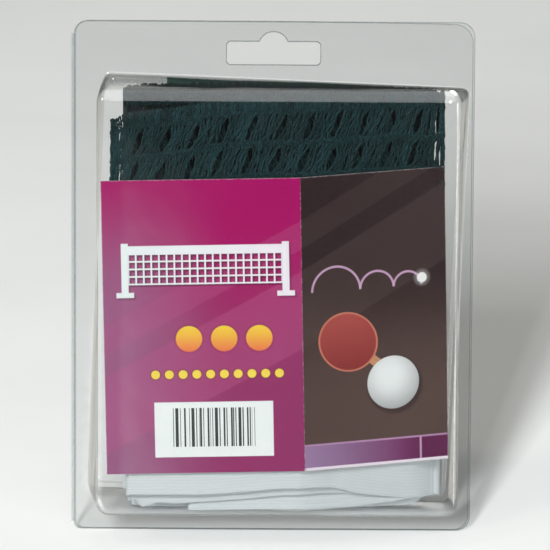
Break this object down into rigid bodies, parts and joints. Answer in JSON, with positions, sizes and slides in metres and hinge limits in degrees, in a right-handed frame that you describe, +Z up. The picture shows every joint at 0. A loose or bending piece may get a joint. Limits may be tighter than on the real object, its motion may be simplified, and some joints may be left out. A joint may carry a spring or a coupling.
{
  "type": "packaged table tennis net",
  "caption": "Clear hanging pack with a hinged back cover, holding a creased printed card and a folded dark green table tennis net with a white top band.",
  "frame": {"origin": "middle of the hang slot's straight part, on the back face of the blister's flange", "axes": "+Z up as the pack hangs, +X to the right seen from the front, +Y from the front to the back; the cavity stands out towards -Y"},
  "size_m": [0.1385, 0.0307, 0.179],
  "materials": {
    "clear_sheet": "clear formed sheet, glossy, slightly wavy",
    "clear_fold": "clear sheet, creased and slightly hazy",
    "printed_card": "coated card, printed in magenta, purple and dark brown",
    "green_netting": "knitted dark green yarn",
    "white_band": "woven white tape with fine ribs",
    "green_sleeve": "woven dark green tape"
  },
  "bodies": {
    "pack": {"front_blister": "clear_sheet", "fold_hinge": "clear_fold", "printed_card": "printed_card", "netting_front_fold": "green_netting", "netting_middle_folds": "green_netting", "netting_rear_fold": "green_netting", "top_band_front_fold": "white_band", "top_band_middle_folds": "white_band", "top_band_rear_folds": "white_band", "outer_end_sleeve": "green_sleeve", "inner_end_sleeve": "green_sleeve"},
    "cover": {"back_cover": "clear_sheet"}
  },
  "joints": [
    {"name": "cover_hinge", "type": "hinge", "parent": "pack", "child": "cover", "pos_m": [-0.0689, 0.0001, -0.0784], "axis": [0, 0, 1], "range_deg": [0, 180]}
  ]
}
